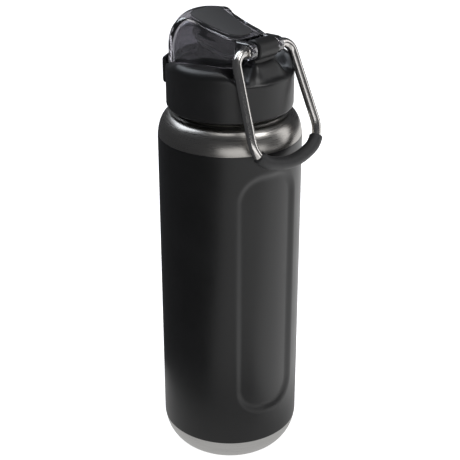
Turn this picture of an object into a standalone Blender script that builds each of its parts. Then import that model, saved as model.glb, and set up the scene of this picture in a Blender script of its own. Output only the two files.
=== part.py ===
"""Insulated water bottle: vacuum body, screw cap with flip cover, spout and wire carry loop.

Metres, +Z up. The origin is the centre of the resting face. The hinge of the cover and the
carry loop runs along X on the +Y side, and the latch button faces -Y.
"""
import math

import bmesh
import bpy
from mathutils import Matrix, Vector

MM = 0.001
CLEAR = 0.3                 # gap between pieces that touch, in mm like all sizes below

# Vacuum body
BODY_R = 40.0
SHELL_WALL = 0.8
BASE_EDGE_R = 17.1          # horizontal reach of the rounded base edge
BASE_EDGE_H = 19.8          # its height
SEAM_Z = 17.8               # bare steel below, coated shell above
SHOULDER_Z = 198.4
SHOULDER_TOP_R = 32.2
SHOULDER_TOP_Z = 212.4
LINER_R = 36.4
LINER_WALL = 0.7
LINER_BASE_Z = 14.5
NECK_R = 29.5
NECK_WALL = 0.8
NECK_TOP_Z = 231.7
RECESS_TURN = 10.7          # degrees from the hinge side to the middle of the grip recess
RECESS_HALF_W = 20.7        # measured round the body
RECESS_MID_Z = 112.8
RECESS_HALF_H = 76.2
RECESS_CORNER_R = 17.0
RECESS_DEPTH = 1.8
RECESS_SLOPE = 4.8

# Screw thread
THREAD_LEAD = 8.0
THREAD_Z = 218.5
THREAD_WIRE_R = 1.1
NECK_THREAD_R = 30.0
CAP_THREAD_R = 31.6

# Cap
CAP_R = 34.9
CAP_BOTTOM_Z = 215.8
CAP_INNER_R = 33.2
CAP_ROOF_Z = 235.5          # underside of the cap's solid top
CAP_DECK_Z = 241.0
CAP_RIM_Z = 243.3
SCOOP_DROP = 5.7            # how far the rim dips at the hinge side
SCOOP_HALF_W = 18.5
SCOOP_SIDE = 7.0
SCOOP_START_Y = 8.0
SCOOP_FULL_Y = 15.0
HUMP_LIFT = 11.0            # how far the top climbs again to meet the hinge barrel
HUMP_HALF_W = 6.0
HUMP_SIDE = 9.0
HUMP_START_Y = 14.0
HUMP_FULL_Y = 19.0
HUMP_END_Y = 25.0
HUMP_RUN = 8.0
THREAD_RING_R = 32.9
THREAD_RING_WALL = 1.0
THREAD_RING_Z = 217.4
PLATE_Z = 233.9
PLATE_TOP_Z = 235.2
STOPPER_R = 27.6
STOPPER_Z = 224.5
SPOUT_Y = -6.5
SPOUT_HALF_L = 14.5
SPOUT_HALF_W = 9.0
SPOUT_TUBE_R = 7.0
SPOUT_BORE_R = 5.6
VENT_Y = -25.2
VENT_R = 1.6
FRONT_DIP = 3.6             # how far the rim dips in front, under the cover's nose
FRONT_DIP_Y = -6.0
FRONT_DIP_RUN = 14.0

# Hinge shared by the cover and the carry loop
HINGE_Y = 24.6
HINGE_Z = 252.5
BARREL_R = 5.5
BARREL_HALF_W = 7.0
LUG_R = 4.5
LUG_IN = 7.4
LUG_OUT = 12.0
PIVOT_R = 1.6
PIVOT_BORE_R = 1.95

# Cover
COVER_WALL = 2.2
COVER_NOSE_R = 33.0         # the nose follows the cap's rim
COVER_REAR_Y = 17.0
COVER_FRONT_W = 22.6        # half widths along the bottom edge
COVER_FRONT_Y = -23.9
COVER_REAR_W = 14.0
COVER_SIDE_LEAN = 0.45      # share of the narrowing reached before the top edge rounds over
COVER_EDGE_H = 3.6
COVER_NOSE_L = 11.5
COVER_NOSE_H = 17.8
COVER_BOTTOM_Z = 238.0
COVER_BOTTOM_RISE = 0.078
COVER_TOP_Z = 259.2
COVER_TOP_FALL = 0.18
COVER_TOP_SAG = 0.003
COVER_SUNK = 0.3            # the top skin lies this far under the line of its long edges
PAD_RECESS = 0.8
PAD_PROUD = 0.4

# Carry loop
WIRE_R = 2.55
LOOP_HANG = 21.7            # degrees off vertical at rest
LOOP_SHOULDER = 13.4
LOOP_TOP_W = 20.2
LOOP_LOW_W = 25.0
LOOP_LOW_V = 54.8
LOOP_END_V = 63.4
LOOP_TOP_BEND = 6.9
LOOP_LOW_BEND = 13.6
LOOP_END_BEND = 40.0
GRIP_R = 3.65
GRIP_WALL = 0.8
GRIP_START_V = 52.5

# Latch
BUTTON_R = 38.0
BUTTON_INNER_R = 35.4
BUTTON_HALF_W = 20.4
BUTTON_Z = (225.2, 240.0)
BUTTON_LEDGE_Z = 237.2

STEPS = 40


def collection(name):
    found = bpy.data.collections.new(name)
    bpy.context.scene.collection.children.link(found)
    return found


def material(name, colour, roughness, metallic=0.0, alpha=1.0):
    made = bpy.data.materials.new(name)
    made.use_nodes = True
    shader = made.node_tree.nodes["Principled BSDF"]
    shader.inputs["Base Color"].default_value = (*colour, 1.0)
    shader.inputs["Roughness"].default_value = roughness
    shader.inputs["Metallic"].default_value = metallic
    shader.inputs["Alpha"].default_value = alpha
    return made


def metres(points):
    return [Vector(point) * MM for point in points]


def add_object(name, data, finish=None):
    made = bpy.data.objects.new(name, data)
    if finish is None:
        CUTTERS.objects.link(made)
        made.hide_render = True
        made.display_type = "WIRE"
    else:
        PARTS.objects.link(made)
        data.materials.append(finish)
    return made


def arc(centre, radii, start, end, count):
    """Points on an elliptical arc in the (r, z) plane, angles in degrees."""
    points = []
    for step in range(count + 1):
        angle = math.radians(start + (end - start) * step / count)
        points.append((centre[0] + radii[0] * math.cos(angle), centre[1] + radii[1] * math.sin(angle)))
    return points


def turned(name, profile, finish, steps=STEPS, closed=True):
    """A profile of (r, z) points, outer side first from top to bottom, turned about Z."""
    mesh = bpy.data.meshes.new(name)
    points = metres([(r, 0.0, z) for r, z in profile])
    edges = [(i, i + 1) for i in range(len(points) - 1)]
    if closed:
        edges.append((len(points) - 1, 0))
    mesh.from_pydata(points, edges, [])
    made = add_object(name, mesh, finish)
    screw = made.modifiers.new("turn", "SCREW")
    screw.steps = steps
    screw.render_steps = steps
    screw.use_merge_vertices = True
    screw.merge_threshold = 0.00001
    return made


def block(name, low, high, finish=None):
    mesh = bpy.data.meshes.new(name)
    form = bmesh.new()
    bmesh.ops.create_cube(form, size=1.0)
    low, high = Vector(low) * MM, Vector(high) * MM
    bmesh.ops.scale(form, vec=high - low, verts=form.verts)
    bmesh.ops.translate(form, vec=(low + high) / 2, verts=form.verts)
    form.to_mesh(mesh)
    form.free()
    return add_object(name, mesh, finish)


def rod(name, start, end, radius, finish=None, sides=24):
    mesh = bpy.data.meshes.new(name)
    form = bmesh.new()
    start, end = Vector(start) * MM, Vector(end) * MM
    along = end - start
    bmesh.ops.create_cone(form, cap_ends=True, segments=sides, radius1=radius * MM,
                          radius2=radius * MM, depth=along.length)
    turn = along.to_track_quat("Z", "Y").to_matrix().to_4x4()
    bmesh.ops.transform(form, matrix=Matrix.Translation((start + end) / 2) @ turn, verts=form.verts)
    form.to_mesh(mesh)
    form.free()
    return add_object(name, mesh, finish)


def combine(target, other, operation="DIFFERENCE"):
    cut = target.modifiers.new(other.name, "BOOLEAN")
    cut.operation = operation
    cut.solver = "EXACT"
    cut.object = other


def freeze(source, name, finish=None, weld=True):
    """Replace an object by the mesh that it evaluates to."""
    graph = bpy.context.evaluated_depsgraph_get()
    graph.update()
    mesh = bpy.data.meshes.new_from_object(source.evaluated_get(graph))
    place = source.matrix_world.copy()
    bpy.data.objects.remove(source)
    mesh.materials.clear()
    if weld:
        form = bmesh.new()
        form.from_mesh(mesh)
        bmesh.ops.remove_doubles(form, verts=form.verts, dist=0.000005)
        form.to_mesh(mesh)
        form.free()
    made = add_object(name, mesh, finish)
    made.matrix_world = place
    return made


def wire(name, points, radius, finish=None, swell=None, caps=True):
    curve = bpy.data.curves.new(name, "CURVE")
    curve.dimensions = "3D"
    curve.bevel_depth = radius * MM
    curve.bevel_resolution = 2
    curve.use_fill_caps = caps
    spline = curve.splines.new("POLY")
    spline.points.add(len(points) - 1)
    for index, point in enumerate(metres(points)):
        spline.points[index].co = (*point, 1.0)
        spline.points[index].radius = swell[index] if swell else 1.0
    return add_object(name, curve, finish)


def slab(name, outline, bottom, top, finish=None):
    """A closed solid on a plan outline of (x, y) points; bottom and top are functions of y."""
    form = bmesh.new()
    low = [form.verts.new(Vector((x, y, bottom(y))) * MM) for x, y in outline]
    high = [form.verts.new(Vector((x, y, top(y))) * MM) for x, y in outline]
    count = len(outline)
    for index in range(count):
        after = (index + 1) % count
        form.faces.new((low[index], low[after], high[after], high[index]))
    form.faces.new(list(reversed(low)))
    form.faces.new(high)
    mesh = bpy.data.meshes.new(name)
    form.to_mesh(mesh)
    form.free()
    return add_object(name, mesh, finish)


def stadium(middle_y, half_length, half_width, count=8):
    """An anticlockwise outline with round ends, long side along Y."""
    straight = half_length - half_width
    points = []
    for centre, start in ((middle_y + straight, 0.0), (middle_y - straight, 180.0)):
        for step in range(count + 1):
            angle = math.radians(start + 180.0 * step / count)
            points.append((half_width * math.cos(angle), centre + half_width * math.sin(angle)))
    return points


def smooth(value):
    value = min(max(value, 0.0), 1.0)
    return value * value * (3.0 - 2.0 * value)


def recess_depth(around, height):
    """Depth of the pressed grip recess at a place round and up the body."""
    reach_x = abs(around) - (RECESS_HALF_W - RECESS_CORNER_R)
    reach_z = abs(height - RECESS_MID_Z) - (RECESS_HALF_H - RECESS_CORNER_R)
    outside = math.hypot(max(reach_x, 0.0), max(reach_z, 0.0)) + min(max(reach_x, reach_z), 0.0)
    return RECESS_DEPTH * smooth((RECESS_CORNER_R - outside) / RECESS_SLOPE)


def press_recesses(shell):
    """Push both grip recesses, hinge side and front, into the thin shell."""
    for vertex in shell.data.vertices:
        radius = math.hypot(vertex.co.x, vertex.co.y)
        if radius < 0.9 * BODY_R * MM:
            continue
        azimuth = math.atan2(vertex.co.x, vertex.co.y) - math.radians(RECESS_TURN)
        offset = (azimuth + math.pi / 2) % math.pi - math.pi / 2
        depth = recess_depth(offset * BODY_R, vertex.co.z / MM) * MM
        vertex.co.x *= 1.0 - depth / radius
        vertex.co.y *= 1.0 - depth / radius


def outer_shell():
    edge = arc((BODY_R - BASE_EDGE_R, BASE_EDGE_H), (BASE_EDGE_R, BASE_EDGE_H), 0, -6, 1)
    heights = [160, 172, 180, 184.2, 189]
    levels = sorted([2 * RECESS_MID_Z - z for z in heights] + heights + [70, 111.5], reverse=True)
    shoulder = (BODY_R - SHOULDER_TOP_R, SHOULDER_TOP_Z - SHOULDER_Z)
    outer = [(NECK_R + CLEAR, 214.2), (31.2, 213.8)]
    outer += arc((SHOULDER_TOP_R, SHOULDER_Z), shoulder, 90, 0, 5)
    outer += [(BODY_R, z) for z in levels] + edge
    inner_r = BODY_R - SHELL_WALL
    inner = [(edge[-1][0] - SHELL_WALL, edge[-1][1])] + [(inner_r, z) for z in reversed(levels)]
    inner += arc((SHOULDER_TOP_R - SHELL_WALL, SHOULDER_Z), shoulder, 0, 75, 4)
    inner += [(NECK_R + CLEAR, 213.4)]
    shell = turned("shell_blank", outer + inner, None)
    shell = freeze(shell, "outer_shell", COAT)
    press_recesses(shell)
    return shell


def base_cup():
    top = SEAM_Z - CLEAR - 0.1
    start = -math.degrees(math.asin((BASE_EDGE_H - top) / BASE_EDGE_H))
    flat_r = BODY_R - BASE_EDGE_R
    outer = arc((flat_r, BASE_EDGE_H), (BASE_EDGE_R, BASE_EDGE_H), start, -90, 6)
    bottom = [(19.0, 0.0), (18.4, 0.8), (15.6, 0.8), (15.0, 0.0), (0.0, 0.0)]
    inside = [(0.0, SHELL_WALL), (14.0, SHELL_WALL), (15.0, 1.6), (19.0, 1.6)]
    inside += arc((flat_r, BASE_EDGE_H), (BASE_EDGE_R - SHELL_WALL, BASE_EDGE_H - SHELL_WALL), -86, start, 4)
    return turned("base_cup", outer + bottom + inside, STEEL)


def vacuum_bottom():
    radius = BODY_R - SHELL_WALL - CLEAR
    profile = [(radius, 24.0), (radius, 20.5), (36.6, 12.0), (33.0, 9.0), (3.2, 9.0), (3.2, 9.8)]
    profile += [(32.6, 9.8), (35.9, 12.6), (radius - SHELL_WALL, 21.0), (radius - SHELL_WALL, 24.0)]
    return turned("vacuum_bottom", profile, STEEL, steps=32)


def vacuum_seal():
    return turned("vacuum_seal", [(0, 10.6), (2.7, 10.2), (2.7, 8.6), (4.2, 8.2), (0, 7.6)], SOLDER,
                  steps=20, closed=False)


def vacuum_getter():
    return turned("vacuum_getter", [(0, 14.2), (5.0, 14.2), (5.0, 12.8), (0, 12.8)], GETTER, steps=20,
                  closed=False)


def helix(radius, first_turn, last_turn, offset):
    count = round((last_turn - first_turn) * 18)
    points = []
    for step in range(count + 1):
        turn = first_turn + (last_turn - first_turn) * step / count
        angle = 2 * math.pi * turn
        height = THREAD_Z + offset + THREAD_LEAD * turn
        points.append((radius * math.cos(angle), radius * math.sin(angle), height))
    return points


def inner_liner():
    edge, wall = 12.0, LINER_WALL
    outer = [(NECK_R, NECK_TOP_Z), (NECK_R, 210.0)]
    outer += arc((NECK_R, 197.0), (LINER_R - NECK_R, 11.0), 80, 0, 4)
    outer += arc((LINER_R - edge, LINER_BASE_Z + edge), (edge, edge), 0, -90, 4)
    outer += [(0.0, LINER_BASE_Z), (0.0, LINER_BASE_Z + wall)]
    inner = arc((LINER_R - edge, LINER_BASE_Z + edge), (edge - wall, edge - wall), -90, 0, 4)
    inner += arc((NECK_R - wall, 197.0), (LINER_R - NECK_R, 11.0 - wall), 0, 80, 4)
    inner += [(NECK_R - NECK_WALL, 209.0), (NECK_R - NECK_WALL, NECK_TOP_Z)]
    liner = turned("inner_liner", outer + inner, STEEL)
    ridge = wire("neck_ridge_path", helix(NECK_THREAD_R, 0.0, 1.25, 0.0), THREAD_WIRE_R)
    combine(liner, freeze(ridge, "neck_ridge"), "UNION")
    return liner


def cap_gasket():
    low, high = NECK_TOP_Z + CLEAR, PLATE_Z - CLEAR
    return turned("cap_gasket", [(31.4, high), (31.4, low), (28.2, low), (28.2, high)], SILICONE, steps=40)


def hump(x, y):
    side = 1.0 - smooth((abs(x) - HUMP_HALF_W) / HUMP_SIDE)
    climb = smooth((y - HUMP_START_Y) / (HUMP_FULL_Y - HUMP_START_Y))
    return HUMP_LIFT * side * climb * (1.0 - smooth((y - HUMP_END_Y) / HUMP_RUN))


def scoop(x, y):
    side = 1.0 - smooth((abs(x) - SCOOP_HALF_W) / SCOOP_SIDE)
    rear = SCOOP_DROP * side * smooth((y - SCOOP_START_Y) / (SCOOP_FULL_Y - SCOOP_START_Y))
    return rear + FRONT_DIP * smooth((FRONT_DIP_Y - y) / FRONT_DIP_RUN) - hump(x, y)


def lower_scoop(shell):
    """Let the rim and the deck dip towards the hinge side, and a little in front."""
    foot = CAP_ROOF_Z - 5.0
    for vertex in shell.data.vertices:
        x, y, z = vertex.co / MM
        if z > foot and (z > CAP_ROOF_Z + 0.1 or math.hypot(x, y) > CAP_INNER_R + 0.1):
            vertex.co.z = (z - scoop(x, y) * (z - foot) / (CAP_RIM_Z - foot)) * MM


def cover_floor(y):
    return COVER_BOTTOM_Z + COVER_BOTTOM_RISE * (y + COVER_NOSE_R)


def cap_shell():
    profile = [(0.0, CAP_DECK_Z), (9.0, CAP_DECK_Z), (16.0, CAP_DECK_Z), (22.0, CAP_DECK_Z)]
    profile += [(26.5, CAP_DECK_Z + 0.3), (29.2, CAP_RIM_Z - 0.4)]
    profile += arc((CAP_R - 4.6, CAP_RIM_Z - 4.8), (4.6, 4.8), 90, 0, 5)
    profile += [(CAP_R, 228.0)] + arc((CAP_R - 1.5, CAP_BOTTOM_Z + 2.0), (1.5, 2.0), 0, -90, 3)
    profile += [(CAP_INNER_R, CAP_BOTTOM_Z), (CAP_INNER_R, CAP_ROOF_Z), (0.0, CAP_ROOF_Z)]
    shell = freeze(turned("cap_blank", profile, None, closed=False), "cap_shell", CAP_BLACK)
    lower_scoop(shell)
    well = slab("cover_well", cover_outline(0.5), lambda y: cover_floor(y) - 0.4, lambda y: 252.0)
    combine(shell, well)
    combine(shell, block("button_window", (-21.8, -46.0, BUTTON_Z[0] - 0.6), (21.8, -26.6, 252.0)))
    combine(shell, block("nose_gap", (-24.6, -46.0, COVER_BOTTOM_Z - 0.8), (24.6, -22.5, 252.0)))
    combine(shell, rod("spout_hole", (0, SPOUT_Y, 230), (0, SPOUT_Y, 250), SPOUT_TUBE_R + CLEAR))
    combine(shell, rod("vent_hole", (0, VENT_Y, 230), (0, VENT_Y, 250), VENT_R, sides=12))
    foot = block("hinge_foot", (-BARREL_HALF_W + 0.1, 19.8, 239.0), (BARREL_HALF_W - 0.1, 26.0, HINGE_Z))
    combine(shell, foot, "UNION")
    left, right = (-BARREL_HALF_W, HINGE_Y, HINGE_Z), (BARREL_HALF_W, HINGE_Y, HINGE_Z)
    combine(shell, rod("hinge_barrel", left, right, BARREL_R), "UNION")
    combine(shell, rod("spring_room", (-5.2, HINGE_Y, HINGE_Z), (5.2, HINGE_Y, HINGE_Z), 3.9))
    combine(shell, rod("pivot_bore", (-9, HINGE_Y, HINGE_Z), (9, HINGE_Y, HINGE_Z), PIVOT_BORE_R, sides=16))
    return shell


def thread_ring():
    inner = THREAD_RING_R - THREAD_RING_WALL
    profile = [(9.4, PLATE_TOP_Z), (THREAD_RING_R, PLATE_TOP_Z), (THREAD_RING_R, THREAD_RING_Z)]
    profile += [(inner, THREAD_RING_Z), (inner, PLATE_Z), (9.4, PLATE_Z)]
    ring = turned("cap_thread_ring", profile, INNER_PLASTIC)
    ridge = wire("cap_ridge_path", helix(CAP_THREAD_R, 0.55, 1.45, -THREAD_LEAD / 2), THREAD_WIRE_R)
    combine(ring, freeze(ridge, "cap_ridge"), "UNION")
    combine(ring, rod("ring_spout_hole", (0, SPOUT_Y, 230), (0, SPOUT_Y, 240), 9.3))
    combine(ring, rod("ring_vent_hole", (0, VENT_Y, 230), (0, VENT_Y, 240), VENT_R, sides=12))
    return ring


def stopper_cup():
    top, wall = PLATE_Z - CLEAR, 1.0
    profile = [(STOPPER_R, top), (STOPPER_R, STOPPER_Z + 2.0), (STOPPER_R - 2.0, STOPPER_Z)]
    profile += [(0.0, STOPPER_Z), (0.0, STOPPER_Z + wall), (STOPPER_R - 2.4, STOPPER_Z + wall)]
    profile += [(STOPPER_R - wall, STOPPER_Z + 2.4), (STOPPER_R - wall, top)]
    cup = turned("stopper_cup", profile, INNER_PLASTIC)
    combine(cup, rod("cup_spout_hole", (0, SPOUT_Y, 220), (0, SPOUT_Y, 228), SPOUT_TUBE_R + CLEAR))
    combine(cup, rod("cup_vent_hole", (0, VENT_Y + 1.5, 220), (0, VENT_Y + 1.5, 228), 1.5, sides=12))
    return cup


def cap_insulation():
    top, low = PLATE_Z - 2 * CLEAR, STOPPER_Z + 1.0 + CLEAR
    radius = STOPPER_R - 1.0 - CLEAR
    profile = [(0, top), (radius, top), (radius, low + 2.0), (radius - 2.0, low), (0, low)]
    foam = turned("cap_insulation", profile, FOAM, steps=32, closed=False)
    combine(foam, rod("foam_spout_hole", (0, SPOUT_Y, 220), (0, SPOUT_Y, 240), SPOUT_TUBE_R + 2 * CLEAR))
    combine(foam, rod("foam_vent_hole", (0, VENT_Y + 1.5, 220), (0, VENT_Y + 1.5, 240), 1.5, sides=12))
    return foam


def lid_plane(y):
    """Underside of the seal carrier, which the spout's mouth follows."""
    return 250.0 - 0.18 * (y + 18.6)


def spout():
    outline = stadium(SPOUT_Y, SPOUT_HALF_L, SPOUT_HALF_W)
    mouth = slab("spout", outline, lambda y: cover_floor(y) - 0.1, lambda y: lid_plane(y) - 2.1, CAP_BLACK)
    combine(mouth, rod("spout_tube", (0, SPOUT_Y, 223.6), (0, SPOUT_Y, 242.6), SPOUT_TUBE_R), "UNION")
    room = stadium(SPOUT_Y, SPOUT_HALF_L - 1.8, SPOUT_HALF_W - 1.8)
    combine(mouth, slab("spout_room", room, lambda y: cover_floor(y) + 1.2, lambda y: 255.0))
    combine(mouth, rod("spout_bore", (0, SPOUT_Y, 220), (0, SPOUT_Y, 250), SPOUT_BORE_R))
    return mouth


def ring(name, centre, major, minor, finish, count=24, sides=8):
    """A round ring of circular section about a vertical axis."""
    made = turned(name, arc((major, centre[2]), (minor, minor), 90, 90 - 360 * (sides - 1) / sides, sides - 1),
                  finish, steps=count)
    made.location = Vector((centre[0], centre[1], 0)) * MM
    return made


def vent_valve():
    base = cover_floor(VENT_Y) + 0.2
    profile = [(0, base + 1.6), (2.0, base + 1.4), (3.4, base + 0.6), (3.4, base), (1.55, base)]
    profile += [(1.55, CAP_ROOF_Z + 0.3), (0, CAP_ROOF_Z + 0.3)]
    valve = turned("vent_valve", profile, SILICONE, steps=16, closed=False)
    valve.location = Vector((0, VENT_Y, 0)) * MM
    return valve


def torsion_spring():
    points = []
    turns, per_turn, coil_r = 5, 10, 2.95
    for step in range(turns * per_turn + 1):
        angle = 2 * math.pi * step / per_turn
        across = -4.2 + 8.4 * step / (turns * per_turn)
        points.append((across, HINGE_Y + coil_r * math.cos(angle), HINGE_Z + coil_r * math.sin(angle)))
    return wire("torsion_spring", points, 0.45, SPRING)


def mirrored(right):
    """Close a half outline that starts and ends on the middle plane."""
    return right + [(-x, y) for x, y in reversed(right[1:-1])]


def loft(name, rings, finish=None):
    """A closed solid through mirror-symmetric rings, capped by faces that run straight across."""
    form = bmesh.new()
    loops = [[form.verts.new(Vector(point) * MM) for point in ring_points] for ring_points in rings]
    count = len(loops[0])
    for low, high in zip(loops, loops[1:]):
        for index in range(count):
            after = (index + 1) % count
            form.faces.new((low[index], low[after], high[after], high[index]))
    for index in range(count // 2):
        across = [index, index + 1, count - index - 1, (count - index) % count]
        corners = list(dict.fromkeys(across))
        form.faces.new([loops[-1][corner] for corner in corners])
        form.faces.new([loops[0][corner] for corner in reversed(corners)])
    mesh = bpy.data.meshes.new(name)
    form.to_mesh(mesh)
    form.free()
    return add_object(name, mesh, finish)


def cover_outline(grow=0.0):
    """Plan outline of the bottom edge: a nose on the cap's rim circle and straight sides."""
    nose_r = COVER_NOSE_R + grow
    corner = math.asin(0.86 * COVER_FRONT_W / COVER_NOSE_R)
    right = []
    for step in range(5):
        angle = corner * step / 4
        right.append((nose_r * math.sin(angle), -nose_r * math.cos(angle)))
    front_x = COVER_FRONT_W + grow
    front_y = COVER_FRONT_Y - 0.8 * grow
    rear_x = COVER_REAR_W + grow
    rear_y = COVER_REAR_Y + grow
    right.append((front_x - 0.9, front_y - 1.4))
    right.append((front_x, front_y + 1.2))
    for share in (0.2, 0.42, 0.64, 0.84):
        right.append((front_x + (rear_x - front_x) * share, front_y + (rear_y - front_y) * share))
    right += [(rear_x, rear_y - 3.5), (rear_x - 1.0, rear_y - 1.2), (rear_x - 3.4, rear_y - 0.3), (0.0, rear_y)]
    return mirrored(right)


def cover_top(y):
    """Height of the cover's long top edges, falling towards the hinge in a shallow sag."""
    return COVER_TOP_Z - COVER_TOP_FALL * y + COVER_TOP_SAG * y * y


def cover_ring(wall, rise, turn):
    """One level of the cover, wall inside its outer face; rise is its share of the straight part
    of the side, turn how far round the top edge it is, in radians."""
    points = []
    for x, y in cover_outline(-wall):
        front = smooth((-8.0 - y) / 12.0)
        pulled = min(max((-10.0 - y) / (COVER_NOSE_R - 10.0), 0.0), 1.0)
        edge = COVER_EDGE_H + (COVER_NOSE_H - COVER_EDGE_H) * front
        lean = COVER_SIDE_LEAN * (1.0 - front)
        inward = lean * rise + (1.0 - lean) * (1.0 - math.cos(turn))
        narrow = 0.30 - 0.004 * y
        place = y + COVER_NOSE_L * pulled * (1.0 - math.cos(turn))
        low = cover_floor(y) - wall
        high = cover_top(place) - COVER_SUNK - edge - wall
        height = low + (high - low) * rise + edge * math.sin(turn)
        points.append((x * (1.0 - narrow * inward), place, height))
    return points


def cover_form(name, wall, finish=None):
    rings = [cover_ring(wall, 0.0, 0.0), cover_ring(wall, 0.5, 0.0)]
    rings += [cover_ring(wall, 1.0, math.radians(90.0 * step / 5)) for step in range(6)]
    return loft(name, rings, finish)


def cover():
    shell = cover_form("cover", 0.0, SMOKE)
    combine(shell, cover_form("cover_hollow", COVER_WALL))
    combine(shell, pad_sheet("pad_recess", 0.35, -PAD_RECESS, 3.0))
    for side in (-1, 1):
        lug = lug_arm("cover_lug_" + ("left" if side < 0 else "right"), side)
        combine(shell, lug, "UNION")
    combine(shell, rod("lug_bore", (-15, HINGE_Y, HINGE_Z), (15, HINGE_Y, HINGE_Z), PIVOT_BORE_R, sides=16))
    return shell


def lug_arm(name, side):
    """One hinge ear: a round eye on the axis and an arm that runs into the cover's rear wall."""
    outline = [(15.6, 256.6), (15.6, 246.4)]
    for step in range(11):
        angle = math.radians(-110.0 + 200.0 * step / 10)
        outline.append((HINGE_Y + LUG_R * math.cos(angle), HINGE_Z + LUG_R * math.sin(angle)))
    form = bmesh.new()
    rows = []
    for x in (LUG_IN, LUG_OUT):
        rows.append([form.verts.new(Vector((side * x, y, z)) * MM) for y, z in outline])
    count = len(outline)
    for index in range(count):
        after = (index + 1) % count
        form.faces.new((rows[0][index], rows[1][index], rows[1][after], rows[0][after]))
    form.faces.new(list(reversed(rows[1])))
    form.faces.new(rows[0])
    bmesh.ops.recalc_face_normals(form, faces=form.faces)
    mesh = bpy.data.meshes.new(name)
    form.to_mesh(mesh)
    form.free()
    return add_object(name, mesh)


def pad_sheet(name, grow, low_lift, high_lift, finish=None):
    """A sheet that follows the cover's top; grow widens its outline, the lifts set its faces."""
    right = [(0.0, -22.0 - grow), (6.0, -21.8 - grow), (9.2 + grow, -20.4 - grow), (10.8 + grow, -18.0)]
    right += [(10.7 + grow, -14.0), (10.1 + grow, -9.0), (9.4 + grow, -4.0), (8.6 + grow, 1.0)]
    for step in range(6):
        angle = math.radians(15.0 * step)
        right.append(((7.9 + grow) * math.cos(angle), 5.6 + (7.4 + grow) * math.sin(angle)))
    outline = mirrored(right + [(0.0, 13.0 + grow)])
    lifts = (low_lift - COVER_SUNK, high_lift - COVER_SUNK)
    return loft(name, [[(x, y, cover_top(y) + lift) for x, y in outline] for lift in lifts], finish)


def cover_pad():
    return pad_sheet("cover_pad", 0.0, 0.35 - PAD_RECESS, PAD_PROUD, PAD)


def seal_carrier():
    drop = COVER_SUNK + COVER_WALL + 1.3
    outline = stadium(-8.6, 15.4, 8.0)
    return slab("seal_carrier", outline, lid_plane, lambda y: cover_top(y) - drop, CAP_BLACK)


def cover_seal():
    outline = stadium(SPOUT_Y, SPOUT_HALF_L - 0.8, SPOUT_HALF_W - 0.8)
    return slab("cover_seal", outline, lambda y: lid_plane(y) - 1.7, lambda y: lid_plane(y) - CLEAR, SILICONE)


def rounded_path(corners, radii, count=6):
    """A flat path through the corners with each inner corner turned on a radius."""
    path = [Vector(corners[0])]
    for index, radius in enumerate(radii, start=1):
        before, here, after = (Vector(corners[k]) for k in (index - 1, index, index + 1))
        back, ahead = (before - here).normalized(), (after - here).normalized()
        angle = back.angle(ahead)
        reach = radius / math.tan(angle / 2)
        centre = here + (back + ahead).normalized() * radius / math.sin(angle / 2)
        start = here + back * reach - centre
        sweep = start.angle_signed(here + ahead * reach - centre)
        for step in range(count + 1):
            turn = Matrix.Rotation(-sweep * step / count, 2)
            path.append(centre + turn @ start)
    path.append(Vector(corners[-1]))
    return path


def loop_path():
    corners = [(LOOP_SHOULDER, 0), (LOOP_TOP_W, 0), (LOOP_LOW_W, LOOP_LOW_V), (0, LOOP_END_V)]
    corners += [(-LOOP_LOW_W, LOOP_LOW_V), (-LOOP_TOP_W, 0), (-LOOP_SHOULDER, 0)]
    bends = [LOOP_TOP_BEND, LOOP_LOW_BEND, LOOP_END_BEND, LOOP_LOW_BEND, LOOP_TOP_BEND]
    return rounded_path(corners, bends)


def on_loop(point):
    lean = math.radians(LOOP_HANG)
    across, down = point
    return (across, HINGE_Y + down * math.sin(lean), HINGE_Z - down * math.cos(lean))


def carry_loop():
    path = loop_path()
    tip = PIVOT_R / WIRE_R
    places = [(5.6, 0), (LOOP_SHOULDER - 0.2, 0)] + list(path) + [(-LOOP_SHOULDER + 0.2, 0), (-5.6, 0)]
    swell = [tip, tip] + [1.0] * len(path) + [tip, tip]
    return wire("carry_loop", [on_loop(place) for place in places], WIRE_R, POLISHED, swell)


def grip_sleeve():
    path = [place for place in loop_path() if place[1] > GRIP_START_V]
    tube = wire("grip_path", [on_loop(place) for place in path], GRIP_R, caps=False)
    sleeve = freeze(tube, "grip_sleeve", RUBBER)
    wall = sleeve.modifiers.new("wall", "SOLIDIFY")
    wall.thickness = GRIP_WALL * MM
    wall.offset = -1.0
    return sleeve


def loop_washer(side):
    name = "loop_washer_" + ("left" if side < 0 else "right")
    washer = rod(name, (side * 12.3, HINGE_Y, HINGE_Z), (side * 13.0, HINGE_Y, HINGE_Z), 3.6, NYLON, sides=20)
    inner, outer = (side * 11, HINGE_Y, HINGE_Z), (side * 14, HINGE_Y, HINGE_Z)
    combine(washer, rod(name + "_hole", inner, outer, PIVOT_BORE_R, sides=16))
    return washer


def latch_button():
    low, high = BUTTON_Z
    profile = [(BUTTON_INNER_R, high)] + arc((BUTTON_R - 1.8, high - 2.2), (1.8, 2.2), 90, 0, 3)
    profile += arc((BUTTON_R - 1.2, low + 2.0), (1.2, 2.0), 0, -90, 2)
    profile += [(BUTTON_INNER_R, low), (BUTTON_INNER_R, BUTTON_LEDGE_Z - 1.4), (31.6, BUTTON_LEDGE_Z - 1.4)]
    profile += [(31.6, BUTTON_LEDGE_Z), (BUTTON_INNER_R, BUTTON_LEDGE_Z)]
    button = turned("latch_button", profile, CAP_BLACK, steps=64)
    keep = block("button_span", (-BUTTON_HALF_W, -50, 215), (BUTTON_HALF_W, -28.4, 245))
    combine(button, keep, "INTERSECT")
    return button


def latch_spring():
    profile = [(33.6, 232.0), (33.6, 226.0), (33.2, 226.0), (33.2, 232.0)]
    spring = turned("latch_spring", profile, SPRING, steps=64)
    keep = block("spring_span", (-9.0, -50, 215), (9.0, -20, 245))
    combine(spring, keep, "INTERSECT")
    return spring


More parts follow.
